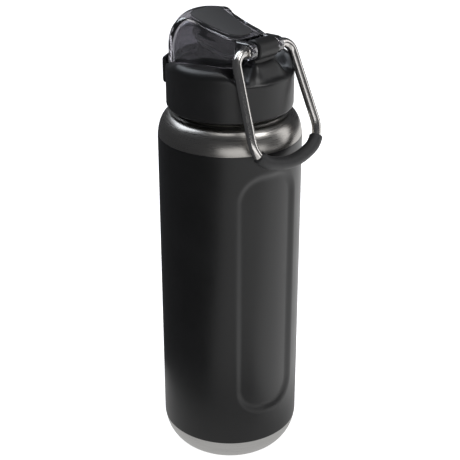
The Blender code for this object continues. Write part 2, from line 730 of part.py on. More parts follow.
def group(name, pieces, pivot=(0.0, 0.0, 0.0)):
    """Hang the pieces of one moving body on an empty that stands on its joint's axis."""
    handle = bpy.data.objects.new(name, None)
    handle.location = Vector(pivot) * MM
    PARTS.objects.link(handle)
    bpy.context.view_layer.update()
    for piece in pieces:
        piece.parent = handle
        piece.matrix_parent_inverse = Matrix.Translation(-handle.location)


def build():
    axis = (0.0, HINGE_Y, HINGE_Z)
    vacuum_pieces = [vacuum_bottom(), vacuum_seal(), vacuum_getter()]
    group("bottle_body", [outer_shell(), base_cup(), *vacuum_pieces, inner_liner()])
    o_ring = ring("spout_seal", (0, SPOUT_Y, 234.55), 8.15, 0.75, SILICONE)
    cap_pieces = [cap_shell(), thread_ring(), stopper_cup(), cap_insulation(), spout(), o_ring]
    cap_pieces += [vent_valve(), torsion_spring(), latch_spring()]
    group("cap_body", cap_pieces)
    group("seal_body", [cap_gasket()])
    group("cover_body", [cover(), cover_pad(), seal_carrier(), cover_seal()], axis)
    group("loop_body", [carry_loop(), grip_sleeve(), loop_washer(-1), loop_washer(1)], axis)
    group("latch_body", [latch_button()])


for old in list(bpy.data.objects):
    bpy.data.objects.remove(old)

PARTS = collection("insulated_water_bottle")
CUTTERS = collection("cutters")
COAT = material("powder_coat", (0.012, 0.012, 0.013), 0.45)
STEEL = material("brushed_steel", (0.56, 0.55, 0.53), 0.32, 1.0)
POLISHED = material("polished_steel", (0.66, 0.65, 0.63), 0.16, 1.0)
SOLDER = material("solder", (0.45, 0.44, 0.42), 0.5, 1.0)
GETTER = material("getter_metal", (0.35, 0.34, 0.33), 0.6, 1.0)
CAP_BLACK = material("cap_black", (0.02, 0.02, 0.021), 0.42)
INNER_PLASTIC = material("inner_plastic", (0.05, 0.05, 0.052), 0.5)
FOAM = material("foam", (0.75, 0.74, 0.7), 0.9)
SILICONE = material("silicone", (0.08, 0.08, 0.085), 0.6)
SMOKE = material("smoke_plastic", (0.03, 0.035, 0.06), 0.06, alpha=0.5)
PAD = material("soft_pad", (0.06, 0.06, 0.062), 0.7)
RUBBER = material("grip_rubber", (0.018, 0.018, 0.019), 0.62)
NYLON = material("nylon", (0.03, 0.03, 0.03), 0.5)
SPRING = material("spring_steel", (0.5, 0.5, 0.5), 0.3, 1.0)

build()
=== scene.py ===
"""Insulated water bottle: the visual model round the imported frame."""
import math

import bmesh
import bpy
from mathutils import Matrix, Vector


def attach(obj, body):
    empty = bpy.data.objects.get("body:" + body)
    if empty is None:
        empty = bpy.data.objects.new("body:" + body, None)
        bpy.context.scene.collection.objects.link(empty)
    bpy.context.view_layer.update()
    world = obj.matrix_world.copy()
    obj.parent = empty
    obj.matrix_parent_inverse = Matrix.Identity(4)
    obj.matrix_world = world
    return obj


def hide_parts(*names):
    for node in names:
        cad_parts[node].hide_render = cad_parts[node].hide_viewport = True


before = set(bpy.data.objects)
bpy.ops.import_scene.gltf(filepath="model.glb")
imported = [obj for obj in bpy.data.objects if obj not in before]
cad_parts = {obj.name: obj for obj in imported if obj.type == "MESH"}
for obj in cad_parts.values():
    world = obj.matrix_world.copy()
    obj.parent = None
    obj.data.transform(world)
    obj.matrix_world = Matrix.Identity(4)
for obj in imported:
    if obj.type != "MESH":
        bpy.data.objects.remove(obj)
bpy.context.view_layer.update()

MM = 0.001

# Sizes in mm, the same as the CAD's
BODY_R = 40.0
BASE_EDGE_R, BASE_EDGE_H = 17.1, 19.8
SEAM_Z = 17.8
PAINT_TOP_Z = 199.8
SHOULDER_Z, SHOULDER_TOP_R, SHOULDER_TOP_Z = 198.4, 32.2, 212.4
NECK_R = 29.5
RECESS_TURN, RECESS_HALF_W, RECESS_MID_Z, RECESS_HALF_H = 10.7, 20.7, 112.8, 76.2
RECESS_CORNER_R, RECESS_DEPTH, RECESS_SLOPE = 17.0, 1.8, 4.8
SHELL_WALL = 0.8
CAP_R, CAP_INNER_R, CAP_BOTTOM_Z = 34.9, 33.2, 215.8
CAP_ROOF_Z, CAP_DECK_Z, CAP_RIM_Z = 235.5, 241.0, 243.3
RIM_ROUND_R, RIM_ROUND_H = 4.6, 4.8
SCOOP_DROP, SCOOP_HALF_W, SCOOP_SIDE, SCOOP_START_Y, SCOOP_FULL_Y = 5.7, 18.5, 7.0, 8.0, 15.0
HUMP_LIFT, HUMP_HALF_W, HUMP_SIDE = 11.0, 6.0, 9.0
HUMP_START_Y, HUMP_FULL_Y, HUMP_END_Y, HUMP_RUN = 14.0, 19.0, 25.0, 8.0
FRONT_DIP, FRONT_DIP_Y, FRONT_DIP_RUN = 3.6, -6.0, 14.0
SPOUT_Y, SPOUT_HALF_L, SPOUT_HALF_W, SPOUT_TUBE_R, SPOUT_BORE_R = -6.5, 14.5, 9.0, 7.0, 5.6
VENT_Y, VENT_R = -25.2, 1.6
HINGE_Y, HINGE_Z = 24.6, 252.5
OPEN_TOP_Z = 252.0         # above everything that a cut in the cap has to clear
BARREL_R, BARREL_HALF_W, LUG_R, LUG_IN, LUG_OUT = 5.5, 7.0, 4.5, 7.4, 12.0
PIVOT_R, PIVOT_BORE_R = 1.6, 1.95
COVER_WALL, COVER_NOSE_R, COVER_REAR_Y = 2.2, 33.0, 17.0
COVER_FRONT_W, COVER_FRONT_Y, COVER_REAR_W = 22.6, -23.9, 14.0
COVER_SIDE_LEAN, COVER_EDGE_H, COVER_NOSE_L, COVER_NOSE_H = 0.45, 3.6, 11.5, 17.8
COVER_BOTTOM_Z, COVER_BOTTOM_RISE, COVER_SUNK = 238.0, 0.078, 0.3
COVER_TOP_Z, COVER_TOP_FALL, COVER_TOP_SAG = 259.2, 0.18, 0.003
COVER_TAPER, COVER_TAPER_FALL = 0.30, 0.004   # share of the width lost at the top, and its change with y
CHAMFER_SOFT = 0.16        # share of the top edge that is rounded at each end
SEAL_FRONT_Y, SEAL_FRONT_Z = -18.6, 250.0
SEAL_MID_Y, SEAL_HALF_L, SEAL_HALF_W = -8.6, 15.4, 8.0
PAD_RECESS, PAD_PROUD = 0.8, 0.4
WIRE_R, LOOP_HANG, LOOP_SHOULDER, LOOP_TOP_W, LOOP_LOW_W = 2.55, 21.7, 13.4, 20.2, 25.0
LOOP_LOW_V, LOOP_END_V = 54.8, 63.4
LOOP_BENDS = (6.9, 13.6, 40.0, 13.6, 6.9)
GRIP_R, GRIP_START_V = 3.65, 52.5
BUTTON_R, BUTTON_INNER_R, BUTTON_HALF_W, BUTTON_LOW, BUTTON_HIGH = 38.0, 35.4, 20.4, 225.2, 240.0
LEDGE_R, LEDGE_LOW, LEDGE_HIGH = 31.6, 235.8, 237.2


# ---------------------------------------------------------------- meshes
def make(name, verts, faces):
    mesh = bpy.data.meshes.new(name)
    mesh.from_pydata([Vector(v) * MM for v in verts], [], faces)
    mesh.validate()
    made = bpy.data.objects.new(name, mesh)
    bpy.context.scene.collection.objects.link(made)
    return made


def soften(obj, angle=32.0):
    """Shade smooth, with edges sharper than the angle left crisp."""
    mesh = obj.data
    mesh.shade_smooth()
    mesh.set_sharp_from_angle(angle=math.radians(angle))
    return obj


def place(obj, body, slot, finish, *nodes):
    """Give a piece its finish and its body, and hide the CAD nodes it stands for. The slot is not used."""
    obj.data.materials.clear()
    obj.data.materials.append(finish)
    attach(obj, body)
    if nodes:
        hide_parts(*nodes)
    return obj


def evaluated(obj):
    """Apply every modifier."""
    graph = bpy.context.evaluated_depsgraph_get()
    graph.update()
    mesh = bpy.data.meshes.new_from_object(obj.evaluated_get(graph))
    obj.modifiers.clear()
    obj.data = mesh
    return obj


def bevel(obj, width, segments=3, angle=40.0):
    mod = obj.modifiers.new("bevel", "BEVEL")
    mod.width = width * MM
    mod.segments = segments
    mod.limit_method = "ANGLE"
    mod.angle_limit = math.radians(angle)
    return evaluated(obj)


def cut(obj, *others, operation="DIFFERENCE"):
    for other in others:
        mod = obj.modifiers.new("cut", "BOOLEAN")
        mod.operation = operation
        mod.solver = "EXACT"
        mod.object = other
        evaluated(obj)
        bpy.data.objects.remove(other)
    return obj


def join_solids(obj, *others):
    return cut(obj, *others, operation="UNION")


def arc(centre, radii, start, end, count):
    points = []
    for step in range(count + 1):
        angle = math.radians(start + (end - start) * step / count)
        points.append((centre[0] + radii[0] * math.cos(angle), centre[1] + radii[1] * math.sin(angle)))
    return points


def line(a, b, count):
    """Points from a up to, but not with, b."""
    return [(a[0] + (b[0] - a[0]) * k / count, a[1] + (b[1] - a[1]) * k / count) for k in range(count)]


def lathe(name, profile, steps=192, warp=None):
    """A closed (r, z) profile turned about Z; a profile that ends on the axis closes there."""
    verts, rings = [], []
    for r, z in profile:
        if r < 1e-6:
            rings.append([len(verts)] * steps)
            verts.append((0.0, 0.0, z) if warp is None else warp(0.0, 0.0, z))
            continue
        ring = []
        for step in range(steps):
            angle = 2 * math.pi * step / steps
            spot = (r * math.cos(angle), r * math.sin(angle), z)
            ring.append(len(verts))
            verts.append(spot if warp is None else warp(*spot))
        rings.append(ring)
    faces = []
    pairs = list(zip(rings, rings[1:]))
    if profile[0][0] > 1e-6 or profile[-1][0] > 1e-6:
        pairs.append((rings[-1], rings[0]))
    for upper, lower in pairs:
        for step in range(steps):
            after = (step + 1) % steps
            corners = list(dict.fromkeys((upper[step], lower[step], lower[after], upper[after])))
            if len(corners) > 2:
                faces.append(corners)
    return make(name, verts, faces)


def rod(name, start, end, radius, sides=48, chamfer=0.0):
    a, b = Vector(start), Vector(end)
    along = (b - a).normalized()
    side = along.orthogonal().normalized()
    other = along.cross(side)
    stops = [(a, radius)] if not chamfer else [(a, radius - chamfer), (a + along * chamfer, radius)]
    stops += [(b, radius)] if not chamfer else [(b - along * chamfer, radius), (b, radius - chamfer)]
    verts = []
    for centre, r in stops:
        for step in range(sides):
            angle = 2 * math.pi * step / sides
            verts.append(centre + side * r * math.cos(angle) + other * r * math.sin(angle))
    faces = [list(reversed(range(sides)))]
    for row in range(len(stops) - 1):
        for step in range(sides):
            after = (step + 1) % sides
            base = row * sides
            faces.append((base + step, base + after, base + sides + after, base + sides + step))
    faces.append([(len(stops) - 1) * sides + step for step in range(sides)])
    return make(name, verts, faces)


def block(name, low, high):
    (x0, y0, z0), (x1, y1, z1) = low, high
    verts = [(x, y, z) for z in (z0, z1) for x, y in ((x0, y0), (x1, y0), (x1, y1), (x0, y1))]
    faces = [(3, 2, 1, 0), (4, 5, 6, 7), (0, 1, 5, 4), (1, 2, 6, 5), (2, 3, 7, 6), (3, 0, 4, 7)]
    return make(name, verts, faces)


def sweep(name, path, radii, sides=32):
    """A round tube along the path, closed by flat ends."""
    spots = [Vector(p) for p in path]
    along = (spots[1] - spots[0]).normalized()
    side = along.orthogonal().normalized()
    verts = []
    for index, spot in enumerate(spots):
        before = spots[max(index - 1, 0)]
        after = spots[min(index + 1, len(spots) - 1)]
        along = (after - before).normalized()
        side = (side - along * side.dot(along)).normalized()
        other = along.cross(side)
        for step in range(sides):
            angle = 2 * math.pi * step / sides
            verts.append(spot + (side * math.cos(angle) + other * math.sin(angle)) * radii[index])
    faces = [list(reversed(range(sides)))]
    for row in range(len(spots) - 1):
        for step in range(sides):
            after = (step + 1) % sides
            base = row * sides
            faces.append((base + step, base + after, base + sides + after, base + sides + step))
    faces.append([(len(spots) - 1) * sides + step for step in range(sides)])
    return make(name, verts, faces)


def smooth(value):
    value = min(max(value, 0.0), 1.0)
    return value * value * (3.0 - 2.0 * value)


def curve_through(points, parts):
    """Catmull-Rom points through a closed outline."""
    count = len(points)
    made = []
    for index in range(count):
        p0, p1, p2, p3 = (Vector((*points[(index + k - 1) % count], 0.0)) for k in range(4))
        for part in range(parts):
            t = part / parts
            spot = 0.5 * (2 * p1 + (p2 - p0) * t + (2 * p0 - 5 * p1 + 4 * p2 - p3) * t * t
                          + (3 * p1 - p0 - 3 * p2 + p3) * t ** 3)
            made.append((spot.x, spot.y))
    return made


def mirrored(right):
    return right + [(-x, y) for x, y in reversed(right[1:-1])]


def strips(count, first):
    """Faces straight across a mirror-symmetric ring that starts on the middle plane."""
    faces = []
    for index in range(count // 2):
        across = [index, index + 1, count - index - 1, (count - index) % count]
        faces.append([first + corner for corner in dict.fromkeys(across)])
    return faces


def loft(name, rings, low_cap=True, high_cap=True):
    count = len(rings[0])
    verts = [spot for ring in rings for spot in ring]
    faces = []
    for row in range(len(rings) - 1):
        for index in range(count):
            after = (index + 1) % count
            base = row * count
            faces.append((base + index, base + after, base + count + after, base + count + index))
    if low_cap:
        faces += [list(reversed(face)) for face in strips(count, 0)]
    if high_cap:
        faces += strips(count, (len(rings) - 1) * count)
    return make(name, verts, faces)


# ---------------------------------------------------------------- finishes
def shader(name, colour, roughness, metallic=0.0, **more):
    made = bpy.data.materials.new(name)
    made.use_nodes = True
    core = made.node_tree.nodes["Principled BSDF"]
    core.inputs["Base Color"].default_value = (*colour, 1.0)
    core.inputs["Roughness"].default_value = roughness
    core.inputs["Metallic"].default_value = metallic
    for socket, value in more.items():
        core.inputs[socket.replace("_", " ")].default_value = value
    return made


def noise(made, scale, stretch=(1.0, 1.0, 1.0), detail=4.0):
    """A noise in the object's own coordinates, stretched along its axes."""
    nodes, links = made.node_tree.nodes, made.node_tree.links
    place_node = nodes.new("ShaderNodeTexCoord")
    mapping = nodes.new("ShaderNodeMapping")
    mapping.inputs["Scale"].default_value = stretch
    links.new(place_node.outputs["Object"], mapping.inputs["Vector"])
    grain = nodes.new("ShaderNodeTexNoise")
    grain.inputs["Scale"].default_value = scale
    grain.inputs["Detail"].default_value = detail
    links.new(mapping.outputs["Vector"], grain.inputs["Vector"])
    return grain.outputs["Fac"]


def spread(made, value, low, high, socket):
    """Map a noise to a range and feed it to a socket of the main shader."""
    nodes, links = made.node_tree.nodes, made.node_tree.links
    ramp = nodes.new("ShaderNodeMapRange")
    ramp.inputs["From Min"].default_value = 0.3
    ramp.inputs["From Max"].default_value = 0.7
    ramp.inputs["To Min"].default_value = low
    ramp.inputs["To Max"].default_value = high
    links.new(value, ramp.inputs["Value"])
    links.new(ramp.outputs["Result"], nodes["Principled BSDF"].inputs[socket])


def tint(made, value, dark, light):
    nodes, links = made.node_tree.nodes, made.node_tree.links
    ramp = nodes.new("ShaderNodeValToRGB")
    ramp.color_ramp.elements[0].position = 0.3
    ramp.color_ramp.elements[1].position = 0.7
    ramp.color_ramp.elements[0].color = (*dark, 1.0)
    ramp.color_ramp.elements[1].color = (*light, 1.0)
    links.new(value, ramp.inputs["Fac"])
    links.new(ramp.outputs["Color"], nodes["Principled BSDF"].inputs["Base Color"])


def grainy(made, value, strength, distance):
    nodes, links = made.node_tree.nodes, made.node_tree.links
    bump = nodes.new("ShaderNodeBump")
    bump.inputs["Strength"].default_value = strength
    bump.inputs["Distance"].default_value = distance * MM
    links.new(value, bump.inputs["Height"])
    links.new(bump.outputs["Normal"], nodes["Principled BSDF"].inputs["Normal"])


def powder_coat():
    made = shader("powder_coat", (0.012, 0.012, 0.0125), 0.4, Specular_IOR_Level=0.5)
    fine = noise(made, 1400.0)
    broad = noise(made, 60.0)
    spread(made, broad, 0.34, 0.38, "Roughness")
    tint(made, broad, (0.004, 0.004, 0.0042), (0.0055, 0.0055, 0.0058))
    grainy(made, fine, 0.12, 0.04)
    return made


def brushed(name, colour, roughness, stretch, strength=0.25, spread_by=0.07):
    made = shader(name, colour, roughness, 1.0)
    streaks = noise(made, 60.0, stretch, 6.0)
    spread(made, streaks, roughness - spread_by, roughness + spread_by, "Roughness")
    tint(made, streaks, tuple(c * 0.9 for c in colour), tuple(min(c * 1.08, 1.0) for c in colour))
    grainy(made, streaks, strength, 0.03)
    return made


def moulded(name, colour, roughness, grain_scale=900.0, strength=0.15, **more):
    made = shader(name, colour, roughness, **more)
    fine = noise(made, grain_scale)
    broad = noise(made, 45.0)
    spread(made, broad, roughness - 0.04, roughness + 0.04, "Roughness")
    tint(made, broad, tuple(c * 0.85 for c in colour), tuple(c * 1.12 for c in colour))
    grainy(made, fine, strength, 0.05)
    return made


ROUND_Z = (1.0, 1.0, 60.0)         # streaks that run round the bottle
COAT = powder_coat()
SHOULDER_STEEL = brushed("shoulder_steel", (0.40, 0.385, 0.365), 0.3, ROUND_Z, 0.08, 0.05)
BASE_STEEL = brushed("base_steel", (0.62, 0.61, 0.595), 0.32, ROUND_Z, 0.08, 0.05)
LINER_STEEL = brushed("liner_steel", (0.6, 0.59, 0.57), 0.3, ROUND_Z, 0.15)
WIRE_STEEL = brushed("wire_steel", (0.62, 0.60, 0.58), 0.2, (4.0, 4.0, 1.0), 0.02, 0.03)
HARDWARE = brushed("hardware_steel", (0.66, 0.64, 0.62), 0.2, (20.0, 1.0, 1.0), 0.1, 0.04)
SPRING = brushed("spring_wire", (0.5, 0.49, 0.47), 0.3, (1.0, 6.0, 6.0), 0.1, 0.05)
SOLDER = moulded("solder_bead", (0.45, 0.44, 0.42), 0.45, 500.0, 0.3, Metallic=1.0)
GETTER = moulded("getter_metal", (0.3, 0.29, 0.28), 0.6, 700.0, 0.4, Metallic=1.0)
CAP_PLASTIC = moulded("cap_plastic", (0.008, 0.008, 0.0085), 0.4, 1100.0, 0.1)
INNER_PLASTIC = moulded("inner_plastic", (0.022, 0.022, 0.023), 0.4, 900.0, 0.1)
CARRIER_PLASTIC = moulded("carrier_plastic", (0.028, 0.028, 0.03), 0.36, 900.0, 0.1)
PAD = moulded("soft_pad", (0.045, 0.045, 0.047), 0.6, 1200.0, 0.3)
GRIP = moulded("grip_rubber", (0.016, 0.016, 0.017), 0.52, 800.0, 0.25)
SILICONE = moulded("silicone", (0.55, 0.54, 0.52), 0.45, 600.0, 0.1, Subsurface_Weight=0.2)
VALVE = moulded("valve_silicone", (0.1, 0.1, 0.105), 0.5, 600.0, 0.1)
FOAM = moulded("closed_cell_foam", (0.75, 0.74, 0.7), 0.9, 700.0, 0.6)
SMOKE = shader("smoke_plastic", (0.25, 0.243, 0.268), 0.04, Transmission_Weight=1.0, IOR=1.3,
               Coat_Weight=1.0, Coat_Roughness=0.03, Coat_IOR=2.1)
spread(SMOKE, noise(SMOKE, 35.0), 0.03, 0.06, "Roughness")
grainy(SMOKE, noise(SMOKE, 70.0), 0.04, 0.05)


# ---------------------------------------------------------------- bottle
def recess_depth(around, height):
    reach_x = abs(around) - (RECESS_HALF_W - RECESS_CORNER_R)
    reach_z = abs(height - RECESS_MID_Z) - (RECESS_HALF_H - RECESS_CORNER_R)
    outside = math.hypot(max(reach_x, 0.0), max(reach_z, 0.0)) + min(max(reach_x, reach_z), 0.0)
    return RECESS_DEPTH * smooth((RECESS_CORNER_R - outside) / RECESS_SLOPE)


def press(x, y, z):
    radius = math.hypot(x, y)
    if radius < 0.9 * BODY_R:
        return (x, y, z)
    azimuth = math.atan2(x, y) - math.radians(RECESS_TURN)
    offset = (azimuth + math.pi / 2) % math.pi - math.pi / 2
    share = 1.0 - recess_depth(offset * BODY_R, z) / radius
    return (x * share, y * share, z)


def body():
    shoulder = (BODY_R - SHOULDER_TOP_R, SHOULDER_TOP_Z - SHOULDER_Z)
    tip = math.degrees(math.asin((PAINT_TOP_Z - SHOULDER_Z) / shoulder[1]))
    edge = arc((BODY_R - BASE_EDGE_R, BASE_EDGE_H), (BASE_EDGE_R, BASE_EDGE_H), 0, -6, 3)
    profile = arc((SHOULDER_TOP_R, SHOULDER_Z), shoulder, tip, 0, 3)
    profile += line((BODY_R, SHOULDER_Z - 1.5), (BODY_R, BASE_EDGE_H + 1.0), 130) + edge
    low = edge[-1]
    inner = BODY_R - SHELL_WALL
    profile += [(low[0] - 0.25, low[1] - 0.12), (low[0] - SHELL_WALL, low[1]), (inner, 24.0)]
    profile += [(inner - RECESS_DEPTH, 30.0), (inner - RECESS_DEPTH, 190.0)]
    profile += [(profile[0][0] - SHELL_WALL, profile[0][1])]
    coat = soften(lathe("body_coat", profile, 288, press), 50)
    place(coat, "bottle", "outer_shell", COAT, "outer_shell")
    steel = [(NECK_R + 0.4, 214.2), (31.0, 213.9), (31.7, 213.2)]
    steel += arc((SHOULDER_TOP_R - 0.12, SHOULDER_Z - 0.1), shoulder, 88, tip * 0.97, 24)
    low = steel[-1]
    steel += [(low[0] - SHELL_WALL, low[1])]
    under = (shoulder[0], shoulder[1] - 0.7)
    steel += arc((SHOULDER_TOP_R - 0.12 - SHELL_WALL, SHOULDER_Z - 0.1), under, tip, 75, 10)
    steel += [(NECK_R + 0.4, 213.2)]
    shoulder_piece = soften(lathe("steel_shoulder", steel, 192), 50)
    place(shoulder_piece, "bottle", "base_cup", SHOULDER_STEEL, "outer_shell")


def base():
    top = SEAM_Z - 0.25
    start = -math.degrees(math.asin((BASE_EDGE_H - top) / BASE_EDGE_H))
    flat_r = BODY_R - BASE_EDGE_R
    profile = arc((flat_r, BASE_EDGE_H), (BASE_EDGE_R - 0.1, BASE_EDGE_H), start, -90, 28)
    profile += [(19.6, 0.0), (19.2, 0.12), (18.7, 0.7), (18.3, 0.8)]
    profile += [(15.7, 0.8), (15.3, 0.7), (14.8, 0.12), (14.4, 0.0)]
    profile += [(0.0, 0.0), (0.0, 0.8), (14.0, 0.8), (15.0, 1.6), (19.0, 1.6)]
    profile += arc((flat_r, BASE_EDGE_H), (BASE_EDGE_R - 0.9, BASE_EDGE_H - 0.8), -86, start, 16)
    cup = soften(lathe("base_ring_cup", profile, 192), 35)
    place(cup, "bottle", "base_cup", BASE_STEEL, "base_cup")


# ---------------------------------------------------------------- cap
def hump(x, y):
    """Rise of the cap's top under the hinge barrel."""
    side = 1.0 - smooth((abs(x) - HUMP_HALF_W) / HUMP_SIDE)
    climb = smooth((y - HUMP_START_Y) / (HUMP_FULL_Y - HUMP_START_Y))
    return HUMP_LIFT * side * climb * (1.0 - smooth((y - HUMP_END_Y) / HUMP_RUN))


def scoop(x, y):
    """Drop of the cap's top at the hinge side and in front, less the hump."""
    side = 1.0 - smooth((abs(x) - SCOOP_HALF_W) / SCOOP_SIDE)
    rear = SCOOP_DROP * side * smooth((y - SCOOP_START_Y) / (SCOOP_FULL_Y - SCOOP_START_Y))
    return rear + FRONT_DIP * smooth((FRONT_DIP_Y - y) / FRONT_DIP_RUN) - hump(x, y)


def dip(x, y, z):
    foot = CAP_ROOF_Z - 5.0
    if z > foot and (z > CAP_ROOF_Z + 0.1 or math.hypot(x, y) > CAP_INNER_R + 0.1):
        z -= scoop(x, y) * (z - foot) / (CAP_RIM_Z - foot)
    return (x, y, z)


def cover_floor(y):
    return COVER_BOTTOM_Z + COVER_BOTTOM_RISE * (y + COVER_NOSE_R)


def sheet_form(name, outline, low, high):
    """A closed solid on a mirror-symmetric outline between two heights that follow y."""
    return loft(name, [[(x, y, low(y)) for x, y in outline], [(x, y, high(y)) for x, y in outline]])


def cover_outline(grow=0.0):
    nose_r = COVER_NOSE_R + grow
    corner = math.asin(0.86 * COVER_FRONT_W / COVER_NOSE_R)
    right = [(nose_r * math.sin(corner * k / 4), -nose_r * math.cos(corner * k / 4)) for k in range(5)]
    front_x, rear_x = COVER_FRONT_W + grow, COVER_REAR_W + grow
    front_y, rear_y = COVER_FRONT_Y - 0.8 * grow, COVER_REAR_Y + grow
    right += [(front_x - 0.9, front_y - 1.4), (front_x, front_y + 1.2)]
    for share in (0.2, 0.42, 0.64, 0.84):
        right.append((front_x + (rear_x - front_x) * share, front_y + (rear_y - front_y) * share))
    right += [(rear_x, rear_y - 3.5), (rear_x - 1.0, rear_y - 1.2), (rear_x - 3.4, rear_y - 0.3)]
    right.append((0.0, rear_y))
    return curve_through(mirrored(right), 5)


def stadium(middle_y, half_length, half_width, count=16):
    """A mirror-symmetric outline with round ends that starts at its front."""
    straight = half_length - half_width
    right = []
    for centre, start in ((middle_y - straight, -90.0), (middle_y + straight, 0.0)):
        for step in range(count + 1):
            angle = math.radians(start + 90.0 * step / count)
            right.append((half_width * math.cos(angle), centre + half_width * math.sin(angle)))
    right[0], right[-1] = (0.0, right[0][1]), (0.0, right[-1][1])
    return mirrored(right)


def cap():
    profile = line((0.0, CAP_DECK_Z), (22.0, CAP_DECK_Z), 14)
    profile += [(22.0, CAP_DECK_Z), (23.6, CAP_DECK_Z + 0.05), (25.2, CAP_DECK_Z + 0.2)]
    profile += [(26.6, CAP_DECK_Z + 0.55), (28.0, CAP_DECK_Z + 1.2), (29.1, CAP_RIM_Z - 0.55)]
    rim_centre = (CAP_R - RIM_ROUND_R, CAP_RIM_Z - RIM_ROUND_H)
    profile += arc(rim_centre, (RIM_ROUND_R, RIM_ROUND_H), 92, 0, 14)
    profile += line((CAP_R, 237.0), (CAP_R, 219.0), 8)
    profile += arc((CAP_R - 1.5, CAP_BOTTOM_Z + 2.0), (1.5, 2.0), 0, -90, 8)
    profile += [(CAP_INNER_R + 0.3, CAP_BOTTOM_Z), (CAP_INNER_R, CAP_BOTTOM_Z + 0.3)]
    profile += [(CAP_INNER_R, CAP_ROOF_Z), (0.0, CAP_ROOF_Z)]
    shell = lathe("cap_body", profile, 240, dip)
    foot = block("foot", (-BARREL_HALF_W + 0.1, 19.8, 239.0), (BARREL_HALF_W - 0.1, 26.0, HINGE_Z))
    bevel(foot, 0.8, 3)
    join_solids(shell, foot)
    axis = [(side * BARREL_HALF_W, HINGE_Y, HINGE_Z) for side in (-1, 1)]
    join_solids(shell, rod("barrel", axis[0], axis[1], BARREL_R, 64, 0.6))
    cut(shell, sheet_form("well", cover_outline(0.5), lambda y: cover_floor(y) - 0.4, lambda y: OPEN_TOP_Z))
    cut(shell, block("button_room", (-21.2, -46.0, BUTTON_LOW - 0.6), (21.2, -26.6, OPEN_TOP_Z)))
    cut(shell, block("nose_room", (-24.6, -46.0, COVER_BOTTOM_Z - 0.8), (24.6, -22.5, OPEN_TOP_Z)))
    cut(shell, rod("bore_spout", (0, SPOUT_Y, 230), (0, SPOUT_Y, 250), SPOUT_TUBE_R + 0.3))
    cut(shell, rod("bore_vent", (0, VENT_Y, 230), (0, VENT_Y, 250), VENT_R, 24))
    cut(shell, rod("room", (-5.2, HINGE_Y, HINGE_Z), (5.2, HINGE_Y, HINGE_Z), 3.9))
    cut(shell, rod("bore", (-9, HINGE_Y, HINGE_Z), (9, HINGE_Y, HINGE_Z), PIVOT_BORE_R, 32))
    place(soften(shell, 28), "cap", "cap_shell", CAP_PLASTIC, "cap_shell")


def button():
    low, high = BUTTON_LOW, BUTTON_HIGH
    profile = [(BUTTON_INNER_R, high)] + arc((BUTTON_R - 1.8, high - 2.2), (1.8, 2.2), 90, 0, 10)
    profile += arc((BUTTON_R - 1.2, low + 2.0), (1.2, 2.0), 0, -90, 8)
    profile += [(BUTTON_INNER_R, low), (BUTTON_INNER_R, LEDGE_LOW), (LEDGE_R, LEDGE_LOW)]
    profile += [(LEDGE_R, LEDGE_HIGH), (BUTTON_INNER_R, LEDGE_HIGH)]
    piece = lathe("latch_key", profile, 240)
    keep = block("keep", (-BUTTON_HALF_W, -50, 215), (BUTTON_HALF_W, -28.4, 245))
    cut(piece, keep, operation="INTERSECT")
    place(soften(bevel(piece, 0.5, 3, 50), 35), "latch", "latch_button", CAP_PLASTIC, "latch_button")


# ---------------------------------------------------------------- cover
def cover_top(y):
    return COVER_TOP_Z - COVER_TOP_FALL * y + COVER_TOP_SAG * y * y


def seal_plane(y):
    """Underside of the seal carrier, which the spout's mouth follows."""
    return SEAL_FRONT_Z - COVER_TOP_FALL * (y - SEAL_FRONT_Y)


def eased(share):
    """A straight climb from 0 to 1 that starts softly."""
    soft = CHAMFER_SOFT
    climb = share * share / (2.0 * soft) if share < soft else share - soft / 2.0
    return climb / (1.0 - soft / 2.0)


def top_edge(turn, front):
    """How far in and up the top edge has come; round at the nose, a flat with soft ends behind."""
    share = 2.0 * turn / math.pi
    inward, upward = eased(share), 1.0 - eased(1.0 - share)
    round_in, round_up = 1.0 - math.cos(turn), math.sin(turn)
    return (inward + (round_in - inward) * front, upward + (round_up - upward) * front)


def cover_ring(inset, rise, turn):
    """One ring of the cover, part of the way up its side or round its top edge."""
    points = []
    for x, y in cover_outline(-inset):
        front = smooth((-8.0 - y) / 12.0)
        pulled = min(max((-10.0 - y) / (COVER_NOSE_R - 10.0), 0.0), 1.0)
        edge = COVER_EDGE_H + (COVER_NOSE_H - COVER_EDGE_H) * front
        lean = COVER_SIDE_LEAN * (1.0 - front)
        edge_in, edge_up = top_edge(turn, front)
        inward = lean * rise + (1.0 - lean) * edge_in
        spot = y + COVER_NOSE_L * pulled * (1.0 - math.cos(turn))
        low = cover_floor(y) - inset
        high = cover_top(spot) - COVER_SUNK - edge - inset
        height = low + (high - low) * rise + edge * edge_up
        points.append((x * (1.0 - (COVER_TAPER - COVER_TAPER_FALL * y) * inward), spot, height))
    return points


def cover_rings(inset):
    rings = [cover_ring(inset, share, 0.0) for share in (0.0, 0.25, 0.5, 0.75)]
    return rings + [cover_ring(inset, 1.0, math.radians(90.0 * step / 12)) for step in range(13)]


def pad_outline(grow):
    right = [(0.0, -22.0 - grow), (6.0, -21.8 - grow), (9.2 + grow, -20.4 - grow), (10.8 + grow, -18.0)]
    right += [(10.7 + grow, -14.0), (10.1 + grow, -9.0), (9.4 + grow, -4.0), (8.6 + grow, 1.0)]
    for step in range(6):
        angle = math.radians(15.0 * step)
        right.append(((7.9 + grow) * math.cos(angle), 5.6 + (7.4 + grow) * math.sin(angle)))
    return curve_through(mirrored(right + [(0.0, 13.0 + grow)]), 4)


